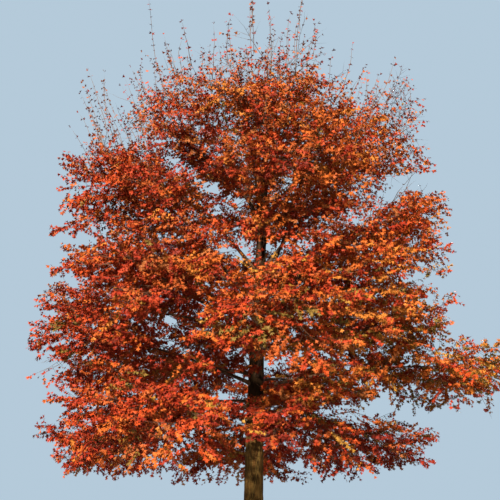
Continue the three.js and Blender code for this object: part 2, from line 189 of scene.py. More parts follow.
# Finer shoots with few leaves, which stand up out of the upper masses
SHOOTS = {"middle": 4, "upper": 16, "high": 17, "top": 12, "leader": 7}
SHOOT_FROM = (0.3, 0.8)  # along a spray
SHOOT_LENGTH = (400, 1250)
SHOOT_LEAN = (6, 30)  # from upright, at the crown's middle and at its outline
SHOOT_LEAN_PLAY = 6
SHOOT_RADII = (6.0, 2.8)
SHOOT_TOP = 10720
SHOOT_SIDE = 3560
SHOOTS_TO = 2300  # how far to the right they stand
LEFT_FROM = -1300  # to the left of which they are longer
LEFT_SHOOTS = 1.6
SHOOT_BOW = 0.06
SHOOT_KINK = 11
KINK_SHAPE = (1, 1, 0.2)  # mostly sideways
SHOOT_TINTS = (0, 1, 2, 4, 7)
SHOOT_LEAF_STEP = (60, 190)
SHOOT_LEAF_FROM = 0.1
SHOOT_LEAF_SIZE = 0.85

# One side of a spray, in shares of its length: where twigs leave its axis, and their tips along and across
TWIG_FROM = np.array([0.08, 0.19, 0.31, 0.44, 0.58, 0.73])
TWIG_TIPS = np.array([(0.28, 0.25), (0.45, 0.42), (0.61, 0.50), (0.73, 0.38), (0.83, 0.25), (0.92, 0.12)])
FROM_JITTER = 0.03
TIP_JITTER = 0.05
DEPTH_JITTER = 0.11  # out of the spray's plane
AXIS_END = 0.97
AXIS_SWAY = 0.02
AXIS_SAG = 0.05
AXIS_RADII = (6.5, 5.0, 3.6, 2.6)
AXIS_THINNEST = 0.4  # of these radii, in the smallest sprays
TWIG_RADIUS = 2.8

# Tubes: points along them and sides round them
STEM_POINTS = 13
STEM_SIDES = 7
STEM_TAPER = 0.9
BRANCH_POINTS = 6
BRANCH_SIDES = 5
BRANCH_KINK = 9
FINE_BRANCH_POINTS = 5
SHOOT_POINTS = 6
TWIG_SIDES = 3
STEEP = 0.9  # the rise above which a tube takes +X as its reference

# Leaves, in pairs along the twigs
LEAF_SEED = 7
LEAF_LENGTH = 61
LEAF_SIZES = (0.74, 1.2)
LEAF_STEP = 35
LEAF_FROM = 0.22  # along a side twig
AXIS_LEAF_FROM = 0.5
LAST_LEAF = 0.999
LEAF_ANGLE = 56
END_LEAF_ANGLE = 28
LEAF_ANGLE_PLAY = 12
LEAF_DROOP = (0.25, 1.15)
LEAF_PLAY = 0.16
PAIR_SHIFT = 0.2
PAIR_TWIST = 0.5
FACE_OUT = 0.55  # how far a leaf's face turns away from the trunk, and up
FACE_UP = 0.75
FACE_PLAY = 0.62
LEAF_POINTS = np.array([  # along, across and out of its face, from the base round to the left lobe
    (0, 0, 0), (0.78, -0.5, 0.1), (0.56, -0.17, 0.02), (1, 0, -0.1), (0.56, 0.17, 0.02), (0.78, 0.5, 0.1),
])
LEAF_FACES = np.array([(0, 1, 4), (2, 3, 4), (0, 2, 5)])  # one for each lobe
LEAF_MIDDLE = 0.6
LEAF_CLEARANCE = 18
BATCH = 20000  # leaves that are tested at once

# Leaves grow sparser in the crown's top, first near its outline: heights, and shares of the crown's reach.
THIN_TOP = (8400, 9500)
THIN_SHELL = (7000, 8300)
THIN_OUTER = (0.45, 0.85)
THINNING = 0.95
LEAST_REACH = 300
UNDERSIDE = 2000  # heights between which a spray ends
TOPSIDE = 10550
SHORTEST_SPRAY = 0.3

# No twigs or leaves grow beneath the crown, nor above and below the long bough where it stands out of it.
BARE_UNDER = (2200, 1900)
BARE_ARM = (3300, 3700)  # how far to the right
ABOVE_ARM = (4000, 4300)
BELOW_ARM = (3300, 3000)

# Sky that shows through the crown, on the upright plane through the trunk as it is seen from the front: the
# middle of each gap, half its width and height, and the share of twigs and leaves that is missing there.
SKY_GAPS = (
    (450, 10750, 2150, 1050, 0.6),  # between the topmost shoots
    (-2050, 10050, 650, 650, 0.7),  # to the left of them
    (-3300, 9000, 900, 800, 0.97),  # over the left shoulder
    (-2600, 8350, 500, 450, 0.4),
    (-3550, 3800, 450, 150, 0.9),  # a notch low on the left
    (3500, 8200, 450, 250, 0.95),  # notches on the right, from the top down
    (3250, 7250, 800, 200, 0.97),
    (2250, 7050, 500, 350, 0.45),
    (2000, 6600, 300, 200, 0.5),
    (3600, 6250, 300, 100, 0.8),
    (3300, 5300, 550, 100, 0.9),
    (3350, 2950, 700, 150, 0.85),  # under the long bough
    (1550, 3050, 550, 150, 0.6),
)
GAP_EDGE = (1.15, 0.85)  # over which a gap closes, as shares of its size


def tint_of(name, colour, common, painted_shade, **zones):
    return SimpleNamespace(name=name, colour=colour, common=common, painted_shade=painted_shade, zones=zones)


# Leaf tints in linear light, from the deepest red to olive: how common each is everywhere, how many times as
# common it is in the painted shade under the crown on the right, where darker tints stand in for shadow, and
# how much more or less of it there is in a zone of the crown.
TINTS = [
    tint_of("maroon", (0.128, 0.010, 0.004), 0.10, 12, lower_left=0.25),
    tint_of("crimson", (0.218, 0.017, 0.005), 0.20, 3, left=1.2, upper_left=-0.96),
    tint_of("brick", (0.275, 0.030, 0.008), 0.80, 1, left=0.6, lower_right=-0.4),
    tint_of("scarlet", (0.352, 0.046, 0.008), 0.90, 0.15, upper=-0.4),
    tint_of("rust", (0.300, 0.063, 0.012), 0.60, 0.8, upper=1.0),
    tint_of("orange", (0.384, 0.088, 0.013), 0.35, 0.12, right=1.0),
    tint_of("amber", (0.372, 0.127, 0.020), 0.04, 0.1, right=0.35, upper=0.1, lower_right=0.5, golden=1.2),
    tint_of("bronze", (0.243, 0.074, 0.020), 0.12, 4, upper=1.1),
    tint_of("gold", (0.294, 0.147, 0.023), 0.01, 0.2, lower_right=0.55, golden=1.1),
    tint_of("olive", (0.140, 0.088, 0.017), 0.02, 0.5, lower_right=0.55, golden=0.7),
]
OWN_TINT = 0.4  # the share of a spray's twigs that have its own tint

# Where the zones begin and where they are full, from the left to the right and in height
RIGHT_ZONE = (-3250, 3250)
UPPER_ZONE = (4500, 9500)
LOWER_ZONE = (5000, 2400)
# The painted shade under the crown on the right, where darker tints stand in for shadow: from the left to the
# right and downwards
PAINTED_SHADE_ZONE = ((-200, 500), (3150, 2550))
GOLDEN_FROM = (1100, 2300)
GOLDEN_HEIGHT = 4250
GOLDEN_HALF = 1300

# Bark: plates with crevices between them, and narrower strips on the trunk's plates. The crevices are
# coloured almost black, partly the bark's own dark fissures and partly painted shade in the recesses.
TRUNK_MESH_SIDES = 110
FINE_RING = 22
FINE_RINGS_TO = 3300
COARSE_RING = 70
BOUGH_SIDES = 12
BOUGH_RINGS = 44
PLATE_COLUMNS = 30
PLATE_HEIGHT = 340
STRIPS = 2  # across each plate
STRIP_HEIGHT = 120
BOUGH_COLUMNS = 7
BOUGH_PLATE = 70
FIRST_PLATE = 1  # rows are counted from here, so that none is below 0
FIRST_STRIP = 1.2
SPARE_ROWS = 4
SPOT_FROM = 0.15  # where a cell's own spot may be, across it
SPOT_PLAY = 0.7
CREVICE_WIDTH = 0.3  # of a plate
CREVICE_SHARPNESS = 1.4
CREVICE_DEPTH = (0.45, 1)
STRIP_CREVICE_WIDTH = 0.35
TRUNK_RELIEF = 0.045  # of the radius
PLATE_LIFT = 0.35
STRIP_DEPTH = 0.25
STRIP_LIFT = 0.12
BOUGH_RELIEF = 0.10
BOUGH_PLATE_LIFT = 0.5
CREVICE_TONES = (0.95, 0.5)  # of plates and strips
PLATE_TONES = (0.7, 0.3)
# Painted shadow of the crown on the trunk: the bark's colour darkens upwards into the crown
SHADED_FROM = (2450, 3000)  # the bark darkens upwards where the crown shades it
SHADED_BARK = 0.9

# Waves on the bark: size, times round, millimetres up for a radian, and shift
NEVER = math.inf
PLATE_TURNS = [(0.16, 3, NEVER, 1), (0.10, 5, 700, 0)]
PLATE_RISES = [(0.5, 3, NEVER, 2), (0.4, 7, NEVER, 0)]
STRIP_RISES = [(0.6, 5, NEVER, 0), (0.5, 11, NEVER, 0)]
BULGES = [(0.016, 2, 900, 0), (0.012, 3, -640, 0)]
SHADE_EDGE = [(90, 2, NEVER, 0), (70, 5, 200, 0)]
PLATE_WANDER = [(0.55, 530, 2, 1), (0.3, 211, 3, 2)]  # size, millimetres up, and an inner wave
BOUGH_SWELLS = [(0.05, 2, 160), (0.04, 0, 67)]
BOUGH_SHIFT = (0, 6)

# Bark on the limbs: linear colours of high places, low places and crevices, and how fine the grain is. The
# crevices' near-black colour is partly painted shade.
TRUNK_BARK = ((0.155, 0.1, 0.027), (0.065, 0.028, 0.006), (0.006, 0.0015, 0.0004), 26)
# The boughs' bark is greyer than the trunk's and darkened further as painted shade of the crown
SHADED_BOUGH_BARK = ((0.11, 0.06, 0.034), (0.055, 0.03, 0.018), (0.02, 0.011, 0.007), 34)
LIMB_ROUGHNESS = 0.9
LIMB_SHINE = 0.15
GRAIN_STRETCH = 0.22  # its fineness up the limb, as a share of that across it
PLATE_SHARE = 0.5  # of the plates' own tones and of the grain in the bark's tone
NOISE_SHARE = 0.55
BANDS = (0.28, 0.82)  # the tones of low and high places
MIX_SHARE, MIX_FROM, MIX_TO, MIX_RESULT = 0, 6, 7, 2  # sockets of a node that mixes colours

# Plain looks: name, linear colour and roughness
TWIG_BARKS = [
    ("stem_bark", (0.055, 0.032, 0.02), 0.85),
    ("twig_bark", (0.075, 0.04, 0.024), 0.8),
    ("shoot_bark", (0.11, 0.07, 0.05), 0.8),
]
STEM_LOOK, TWIG_LOOK, SHOOT_LOOK = range(len(TWIG_BARKS))
FLOOR_GREY = ("floor_grey", (0.28, 0.30, 0.33), 0.9)
FLOOR_HALF = 60000
LEAF_ROUGHNESS = 0.66
LEAF_SHINE = 0.2
SHINE = 0.3
AMBIENT = (0.60, 0.58, 0.60)
AMBIENT_STRENGTH = 0.08
BACKDROP = (0.46, 0.59, 0.70)
SUNS = [  # name, azimuth, rise, strength, colour and width
    ("key", 252, 26, 12.2, (1.0, 0.85, 0.67), 3),
    ("fill", 70, 32, 2.4, (1.0, 0.93, 0.85), 12),
]

# The camera stands at the eye and looks up so far that the horizon is below the photo's middle.
LENS = 50
SENSOR = 36
FOCAL_PIXELS = 694
HORIZON_PIXELS = 255
TILT = math.degrees(math.atan(HORIZON_PIXELS / FOCAL_PIXELS))


# Evenly spread numbers from 0 to 1, the same ones as the source's for one seed.
def seeded(seed):
    mask = 0xFFFFFFFF
    state = seed & mask

    def draw():
        nonlocal state
        state = (state + 0x6D2B79F5) & mask
        bits = ((state ^ (state >> 15)) * (state | 1)) & mask
        bits ^= (bits + (((bits ^ (bits >> 7)) * (bits | 61)) & mask)) & mask
        return (bits ^ (bits >> 14)) / 4294967296

    return draw


def swing(random):
    return 2 * random() - 1


def mix(a, b, share):
    return a + (b - a) * share


# From 0 at the first end to 1 at the second
def ramp(values, ends):
    return np.clip((values - ends[0]) / (ends[1] - ends[0]), 0, 1)


def evenly(ends, count):
    return [mix(*ends, i / (count - 1)) for i in range(count)]


# Left and right in turn
def side_sign(i):
    return 1 if i % 2 else -1


def unit(vectors):
    return vectors / np.linalg.norm(vectors, axis=-1, keepdims=True)


def heading(azimuth, rise):
    a, r = math.radians(azimuth), math.radians(rise)
    return np.array([math.cos(a) * math.cos(r), math.sin(a) * math.cos(r), math.sin(r)])


def side_of(direction):
    side = np.array([-direction[1], direction[0], 0.0])
    length = np.linalg.norm(side)
    return np.array([0.0, 1.0, 0.0]) if length < 0.001 else side / length


def rotated(vector, axis, degrees):
    c, s = math.cos(math.radians(degrees)), math.sin(math.radians(degrees))
    return vector * c + np.cross(axis, vector) * s + axis * (axis @ vector) * (1 - c)


def turned(direction, left, up):
    top = np.cross(direction, side_of(direction))
    swept = rotated(direction, top, left)
    return rotated(swept, side_of(swept), -up)


def crown_middle(height):
    return CROWN_MIDDLE + TRUNK_LEAN * (height / LEADER_TIP) ** 2


def crown_reach(height):
    half = np.where(height > CROWN_WAIST, CROWN_RISE, CROWN_DROP)
    share = np.minimum(1, np.abs(height - CROWN_WAIST) / half)
    return CROWN_REACH * (1 - share**CROWN_ROUNDNESS) ** (1 / CROWN_ROUNDNESS)


def trunk_centre(height):
    share = height / LEADER_TIP
    sway = TRUNK_SWAY * np.sin(2 * math.pi * share) * share
    return np.stack(np.broadcast_arrays(TRUNK_LEAN * share**2, sway, height), axis=-1).astype(float)


def trunk_radius(height):
    return mix(TRUNK_RADIUS, LEADER_RADIUS, (np.clip(height / LEADER_TIP, 0, 1)) ** TRUNK_TAPER)


def flare_at(height, angle):
    flare = (FLARE / TRUNK_RADIUS) * np.exp(-height / FLARE_HEIGHT)
    return 1 + flare * (1 + ROOT_DEPTH * np.cos(ROOTS * angle))


def bezier(corners):
    a, b, c, d = corners

    def point(share):
        s = np.asarray(share, float)[..., None]
        return a * (1 - s) ** 3 + 3 * b * s * (1 - s) ** 2 + 3 * c * s**2 * (1 - s) + d * s**3

    return point


def aim_along(curve, share):
    ends = curve(np.array([max(0, share - 0.0001), min(1, share + 0.0001)]))
    return unit(ends[1] - ends[0])


def limbs_of(tier, tier_index):
    limbs = []
    for index in range(tier.count):
        random = seeded(LIMB_SEED * (tier_index + 1) + index)
        azimuth = tier.azimuth + 360 / tier.count * index + AZIMUTH_PLAY * swing(random)
        lift = tier.lift * max(0, math.cos(math.radians(azimuth - FRONT)))
        tip_height = tier.tip + lift + TIP_PLAY * swing(random)
        name = f"{tier.name}_bough_{index + 1}"
        share = OWN_REACH.get(name) or tier.reach * (TIP_REACH + REACH_PLAY * swing(random))
        bend = BEND_PLAY * swing(random)
        start = trunk_centre(tier.base + tier.spread * ((index * 2) % tier.count) / tier.count)
        end = heading(azimuth, 0) * share * crown_reach(tip_height)
        end[2] = tip_height
        end[0] += crown_middle(tip_height)
        third = np.linalg.norm(start - end) / 3
        curve = bezier((
            start,
            start + heading(azimuth - bend, tier.rise[0]) * third,
            end - heading(azimuth + bend, tier.rise[1]) * third,
            end,
        ))
        line = curve(np.linspace(0, BOUGH_SHARE, BOUGH_STEPS + 1))
        long = name == LONG_BOUGH
        limbs.append(SimpleNamespace(name=name, tier=tier, long=long, curve=curve, start=start, line=line))
    return limbs


# The distance from each of n points to each of m lines, with heights stretched
def distances(points, lines, stretch):
    scale = np.array([1, 1, stretch])
    at = points[:, None, None] * scale
    starts = lines[None, :, :-1] * scale
    spans = (lines[None, :, 1:] - lines[None, :, :-1]) * scale
    share = (((at - starts) * spans).sum(-1) / (spans**2).sum(-1)).clip(0, 1)
    return np.linalg.norm(starts + share[..., None] * spans - at, axis=-1).min(-1)


def clear_of_trunk(points, clearance):
    centre = trunk_centre(points[:, 2])
    away = np.hypot(points[:, 0] - centre[:, 0], points[:, 1] - centre[:, 1]) - trunk_radius(points[:, 2])
    return (points[:, 2] > LEADER_TIP) | (away > clearance)


def clear_of_boughs(points, tree, clearance):
    return (distances(points, tree.limb_lines, 1) > tree.limb_radii + clearance).all(-1)


# Whether points are inside the crown, clear of its limbs and nearer to their own mass than to any other
def fits(points, mass, tree, anywhere=False):
    level = np.hypot(points[:, 0] - crown_middle(points[:, 2]), points[:, 1])
    if not (anywhere or mass.long or (level < crown_reach(points[:, 2])).all()):
        return False
    if not clear_of_trunk(points, LIMB_CLEARANCE).all():
        return False
    if not clear_of_boughs(points, tree, LIMB_CLEARANCE).all():
        return False
    apart = distances(points, tree.axes, FLATNESS)
    own = apart[:, mass.order] + 2 * SPACE_MARGIN
    apart[:, mass.order] = np.inf
    return bool((apart.min(-1) > own).all())


def point_on(twig, share):
    at = share * (len(twig) - 1)
    i = min(math.floor(at), len(twig) - 2)
    return mix(twig[i], twig[i + 1], at - i)


def aim_on(twig, share):
    i = min(math.floor(share * (len(twig) - 1)), len(twig) - 2)
    return unit(twig[i + 1] - twig[i])


def length_of(twig):
    return np.linalg.norm(np.diff(twig, axis=0), axis=1).sum()


def straight_twig(start, direction, length):
    return np.array([start, start + direction * length])


def twig_fits(twig, mass, tree, anywhere=False):
    shares = evenly((TWIG_TESTED_FROM, 1), TWIG_SAMPLES)
    return fits(np.array([point_on(twig, share) for share in shares]), mass, tree, anywhere)


def twig_that_fits(start, direction, length, mass, tree):
    tried = length
    while tried > BRANCH_SHORTEST * length:
        twig = straight_twig(start, direction, tried)
        if twig_fits(twig, mass, tree):
            return twig
        tried -= length / BRANCH_CUTS
    return None


def spray_pose(base, along, roll, length):
    across = rotated(side_of(along), along, roll)
    return SimpleNamespace(base=base, along=along, across=across, out=np.cross(along, across), length=length)


# Points of a spray, from shares of its length along, across and out of it
def on_spray(pose, shares):
    return pose.base + pose.length * (np.asarray(shares) @ np.array([pose.along, pose.across, pose.out]))


def spray_middle(pose):
    return on_spray(pose, (SPRAY_MIDDLE, 0, 0))


def spray_samples(pose):
    middle = spray_middle(pose)
    rim = on_spray(pose, [(along, across, -SPRAY_SAG * abs(across)) for along, across in SPRAY_RIM])
    samples = [middle]
    for i, corner in enumerate(rim):
        after = rim[(i + 1) % len(rim)]
        for ring in range(1, SAMPLE_STEPS + 1):
            for step in range(ring):
                samples.append(mix(middle, mix(corner, after, step / ring), ring / SAMPLE_STEPS))
    samples = np.array(samples)
    return samples[np.linalg.norm(samples - pose.base, axis=1) > LIMB_CLEARANCE]


def crowded(pose, sprays, spacing):
    middle = spray_middle(pose)
    return any(np.linalg.norm(spray_middle(other) - middle) < spacing * other.length for other in sprays)


# Sprays along a twig, from its end back. The finer ones follow the same rule, smaller and closer together.
def add_sprays(twig, mass, tree, random, step=SPRAY_STEP, scale=1, spacing=SPRAY_SPACING, slope=1, rise=0,
               single=False):
    count = 1 if single else max(1, math.floor(length_of(twig) / step + 0.5))
    for i in range(count):
        share = END_SPRAY_AT if i == 0 else 1 - (i - SPRAY_SHIFT) / count
        angle, play = (0, END_PLAY) if i == 0 else (SPRAY_ANGLE, SPRAY_PLAY)
        side = (angle + play * swing(random)) * (side_sign(i) if i else 1)
        fall = END_DROOP if i == 0 else (1, -1)[(i // 2) % 2]
        droop = slope * fall * mix(*SPRAY_DROOP, random())
        size = scale * mass.spray * mix(*SPRAY_LENGTH, random())
        roll = slope * SPRAY_ROLL * swing(random)
        for turn_share, droop_share, size_share in SPRAY_TRIES:
            along = turned(aim_on(twig, share), side * turn_share, rise - droop * droop_share)
            pose = spray_pose(point_on(twig, share), along, roll, size * size_share)
            if not crowded(pose, mass.sprays, spacing) and fits(spray_samples(pose), mass, tree):
                mass.sprays.append(pose)
                break


def mass_of(tier, name, curve, start, radius, order, seed, long=False):
    axis = curve(np.linspace(start, 1, 3))
    return SimpleNamespace(
        name=name, tier=tier.name, spray=tier.spray, whips=tier.whips, curve=curve, start=start, axis=axis,
        radius=radius * STEM_START, order=order, long=long, random=seeded(seed), sprays=[],
    )


def masses_of(limbs):
    masses = []
    for order, limb in enumerate(limbs):
        name = limb.name.replace("bough", "foliage")
        radius = limb.tier.radius * BOUGH_END
        seed = MASS_SEED + order
        masses.append(mass_of(limb.tier, name, limb.curve, BOUGH_SHARE, radius, order, seed, limb.long))
    tip = trunk_centre(LEADER_TIP)

    def straight_up(share):
        return mix(tip, tip + LEADER_STEM * UP, np.asarray(share, float)[..., None])

    leader = tier_of("leader", spray=LEADER_SPRAY, whips=LEADER_WHIPS)
    order = len(masses)
    masses.append(mass_of(leader, "leader_foliage", straight_up, 0, LEADER_RADIUS, order, LEADER_SEED))
    return masses


def branches_of(mass, tree):
    is_leader = mass.tier == "leader"
    count = LEADER_BRANCHES if is_leader else BRANCHES
    branches = []
    for i in range(count):
        step = i / (count - 1)
        share = mix(*BRANCH_FROM, step)
        turn = side_sign(i) * (BRANCH_ANGLE + BRANCH_PLAY * swing(mass.random))
        if is_leader:
            direction = heading(GOLDEN_TURN * i, LEADER_RISE)
        else:
            direction = turned(aim_on(mass.stem, share), turn, BRANCH_TILT[i])
        twig = twig_that_fits(point_on(mass.stem, share), direction, mix(*BRANCH_REACH, step), mass, tree)
        if twig is not None:
            thick = BRANCH_START * mix(mass.radius, STEM_END, share)
            branches.append((twig, thick))
    return branches


def outward_of(base, random):
    return math.degrees(math.atan2(base[1], base[0])) + OUTWARD_PLAY * swing(random)


# A whip has leaves here instead of the source's one spray, whose random number is still drawn.
def whips_of(mass, tree):
    whips = []
    for i in range(mass.whips):
        base = point_on(mass.twigs[i % len(mass.twigs)], mix(*WHIP_START, mass.random()))
        outward = outward_of(base, mass.random)
        direction = heading(outward, 90 - WHIP_LEAN * (WHIP_LEAN_LEAST + mass.random()))
        whip = straight_twig(base, direction, mix(*WHIP_LENGTH, mass.random()))
        mass.random()
        if twig_fits(whip, mass, tree, anywhere=True):
            whips.append(whip)
    return whips


# How sparse the leaves are at each point, from 0 to 1
def thinness(points):
    height = points[:, 2]
    level = np.hypot(points[:, 0] - crown_middle(height), points[:, 1])
    outer = level / np.maximum(crown_reach(height), LEAST_REACH)
    return np.maximum(ramp(height, THIN_TOP), ramp(height, THIN_SHELL) * ramp(outer, THIN_OUTER))


# How much of both twigs and leaves is missing at each point, from 0 to 1
def bareness(points):
    height = points[:, 2]
    arm = ramp(points[:, 0], BARE_ARM) * np.maximum(ramp(height, ABOVE_ARM), ramp(height, BELOW_ARM))
    return np.maximum(np.maximum(ramp(height, BARE_UNDER), arm), skyward(points))


# The same for the gaps that show sky
def skyward(points):
    nearness = (points[:, 1] - EYE[1]) / -EYE[1]
    across = EYE[0] + (points[:, 0] - EYE[0]) / nearness
    up = EYE[2] + (points[:, 2] - EYE[2]) / nearness
    missing = np.zeros(len(points))
    for x, z, half_width, half_height, share in SKY_GAPS:
        away = np.hypot((across - x) / half_width, (up - z) / half_height)
        missing = np.maximum(missing, share * ramp(away, GAP_EDGE))
    return missing


# Branches to the left and right of a stem, then others all round it that lean forward, and some near its
# start that lean back towards the trunk. None ends in a bare place.
def fine_branches_of(mass, tree, random):
    is_open = mass.tier in OPEN_TIERS
    branches = []

    def try_branch(share, direction):
        start = point_on(mass.stem, share)
        twig = twig_that_fits(start, direction, mix(*FINE_BRANCH_LENGTH, share), mass, tree)
        if twig is not None and twig[1][2] < TOPSIDE and bareness(twig[1:])[0] < BARE_TIP:
            branches.append(twig)

    for i, share in enumerate(evenly(SIDE_BRANCH_FROM, 0 if is_open else SIDE_BRANCHES)):
        turn = side_sign(i) * SIDE_BRANCH_ANGLE
        try_branch(share, turned(aim_on(mass.stem, share), turn, LEAN_PLAY * swing(random)))
    outer = evenly(FINE_BRANCH_FROM, OPEN_BRANCHES if is_open else FINE_BRANCHES)
    starts = [(share, FINE_BRANCH_ANGLE) for share in outer]
    starts += [(share, INNER_BRANCH_ANGLE) for share in evenly(INNER_BRANCH_FROM, INNER_BRANCHES)]
    for i, (share, lean) in enumerate(starts):
        aim = aim_on(mass.stem, share)
        around = rotated(side_of(aim), aim, GOLDEN_TURN * i + AROUND_PLAY * swing(random))
        angle = math.radians(lean + LEAN_PLAY * swing(random))
        direction = aim * math.cos(angle) + around * math.sin(angle)
        try_branch(share, unit(direction + UPRIGHT.get(mass.tier, 0) * UP))
    return branches


# A spray that hangs below the crown's underside, or stands up out of its top, is cut short.
def kept_within(pose):
    rise = pose.along[2] * pose.length
    end = min(max(pose.base[2] + rise, UNDERSIDE), TOPSIDE)
    share = (end - pose.base[2]) / rise if abs(rise) > 1 else 1
    return SimpleNamespace(**{**vars(pose), "length": pose.length * min(1, max(SHORTEST_SPRAY, share))})


# Fine upright shoots from the sprays that reach furthest up
def fine_shoots_of(mass, random):
    highest = sorted(mass.sprays, key=lambda pose: -(pose.base + pose.along * pose.length)[2])
    shoots = []
    for pose in map(kept_within, highest[:SHOOTS.get(mass.tier, 0)]):
        base = pose.base + pose.along * pose.length * mix(*SHOOT_FROM, random())
        outward = outward_of(base, random)
        outer = min(1, math.hypot(base[0], base[1]) / CROWN_REACH)
        lean = mix(*SHOOT_LEAN, outer) + SHOOT_LEAN_PLAY * swing(random)
        direction = heading(outward, 90 - lean)
        longer = LEFT_SHOOTS if base[0] < LEFT_FROM else 1
        length = min(longer * mix(*SHOOT_LENGTH, random()), (SHOOT_TOP - base[2]) / direction[2])
        tip = base + direction * length
        if base[0] < SHOOTS_TO and math.hypot(tip[0] - crown_middle(tip[2]), tip[1]) < SHOOT_SIDE:
            shoots.append(straight_twig(base, direction, length))
    return shoots


# The source's sprays and whips first, with its own random numbers, and then the finer growth. In a bare place
# a spray is left out, less often than its bareness says, because its twigs and leaves are thinned as well.
def grow(mass, tree):
    mass.stem = mass.curve(np.linspace(mass.start, 1, STEM_STEPS + 1))
    mass.stem[0] += GAP * aim_along(mass.curve, mass.start)
    mass.branches = branches_of(mass, tree)
    mass.twigs = [mass.stem, *(twig for twig, _ in mass.branches)]
    for twig in mass.twigs:
        add_sprays(twig, mass, tree, mass.random, single=mass.tier == "leader" and twig is mass.stem)
    mass.shoots = whips_of(mass, tree)
    finer = seeded(FINE_SEED + mass.order)
    mass.fine_branches = fine_branches_of(mass, tree, finer)
    rise = UPRIGHT_RISE * UPRIGHT.get(mass.tier, 0)
    for twigs, step in ((mass.fine_branches, FINE_STEP), (mass.twigs, FILL_STEP)):
        for twig in twigs:
            add_sprays(twig, mass, tree, finer, step, FINE_SIZE, FINE_SPACING, FINE_SLOPE, rise)
    mass.sprays = [pose for pose in mass.sprays if finer() > bareness(spray_middle(pose)[None])[0] ** 2]
    mass.shoots += fine_shoots_of(mass, finer)


def placed(name, data):
    made = bpy.data.objects.new(name, data)
    bpy.context.collection.objects.link(made)
    return made


def piece(name, points, faces, materials, face_materials=None, smooth=False):
    mesh = bpy.data.meshes.new(name)
    mesh.vertices.add(len(points))
    mesh.vertices.foreach_set("co", (points * MM).astype(np.float32).ravel())
    mesh.loops.add(faces.size)
    mesh.loops.foreach_set("vertex_index", faces.astype(np.int32).ravel())
    mesh.polygons.add(len(faces))
    mesh.polygons.foreach_set("loop_start", np.arange(0, faces.size, faces.shape[1], dtype=np.int32))
    for each in materials:
        mesh.materials.append(each)
    if face_materials is not None:
        mesh.polygons.foreach_set("material_index", face_materials.astype(np.int32))
    mesh.update(calc_edges=True)
    mesh.polygons.foreach_set("use_smooth", np.full(len(faces), smooth))
    return placed(name, mesh)


def angles_round(sides):
    return np.arange(sides) * 2 * math.pi / sides


# A grid of points wrapped into an open tube: rings of equal counts, joined in quads
def tube_faces(rings, sides):
    ring, side = np.meshgrid(np.arange(rings - 1), np.arange(sides), indexing="ij")
    after = (side + 1) % sides
    near, far = ring * sides, (ring + 1) * sides
    return np.stack([near + side, near + after, far + after, far + side], -1).reshape(-1, 4)


# Many pointed tubes at once. lines is (m, k, 3) and radii (m, k - 1): the last point is the pointed end.
def pointed_tubes(lines, radii, sides):
    lines, radii = np.asarray(lines, float), np.asarray(radii, float)
    m, k = lines.shape[:2]
    chord = unit(lines[:, -1] - lines[:, 0])
    reference = np.where(np.abs(chord[:, 2:]) > STEEP, [1.0, 0.0, 0.0], UP)
    first = unit(np.cross(chord, reference))
    second = np.cross(chord, first)
    angles = angles_round(sides)
    circle = first[:, None] * np.cos(angles)[:, None] + second[:, None] * np.sin(angles)[:, None]
    rings = lines[:, :-1, None] + radii[:, :, None, None] * circle[:, None]
    points = np.concatenate([rings.reshape(m, -1, 3), lines[:, -1:]], axis=1)
    faces = []
    for ring in range(k - 2):
        for side in range(sides):
            a, b = ring * sides + side, ring * sides + (side + 1) % sides
            faces += [(a, b, b + sides), (a, b + sides, a + sides)]
    last = (k - 2) * sides
    faces += [(last + side, last + (side + 1) % sides, last + sides) for side in range(sides)]
    all_faces = np.array(faces)[None] + (np.arange(m) * points.shape[1])[:, None, None]
    return points.reshape(-1, 3), all_faces.reshape(-1, 3)


# Points and directions on each of m lines, at n shares of each
def on_lines(lines, shares):
    steps = lines.shape[1] - 1
    at = shares * steps
    i = np.minimum(np.floor(at).astype(int), steps - 1)
    rows = np.arange(len(lines))[:, None]
    start, end = lines[rows, i], lines[rows, i + 1]
    return mix(start, end, (at - i)[..., None]), unit(end - start)


# Meshes, each a pair of points and faces, as one
def joined(meshes):
    firsts = np.cumsum([0] + [len(points) for points, _ in meshes])
    faces = [faces + first for (_, faces), first in zip(meshes, firsts)]
    return np.concatenate([points for points, _ in meshes]), np.concatenate(faces)


# The twigs of a spray: its axis, and side twigs that end along its outline
def spray_twigs(pose, rng):
    shares = np.linspace(0, AXIS_END, len(AXIS_RADII) + 1)
    sway = rng.normal(0, AXIS_SWAY, (len(shares), 2)) * shares[:, None]
    axis = on_spray(pose, np.column_stack([shares, sway[:, 0], sway[:, 1] - AXIS_SAG * shares**2]))
    sides = np.repeat([-1, 1], len(TWIG_FROM))
    tips = np.tile(TWIG_TIPS, (2, 1)) + rng.normal(0, TIP_JITTER, (len(sides), 2))
    depth = rng.normal(0, DEPTH_JITTER, len(sides)) - SPRAY_SAG * tips[:, 1]
    ends = on_spray(pose, np.column_stack([tips[:, 0], sides * tips[:, 1], depth]))
    shares_from = (np.tile(TWIG_FROM, 2) + rng.uniform(-FROM_JITTER, FROM_JITTER, len(sides))) / AXIS_END
    starts = on_lines(axis[None], shares_from[None])[0][0]
    return axis, np.stack([starts, ends], axis=1)


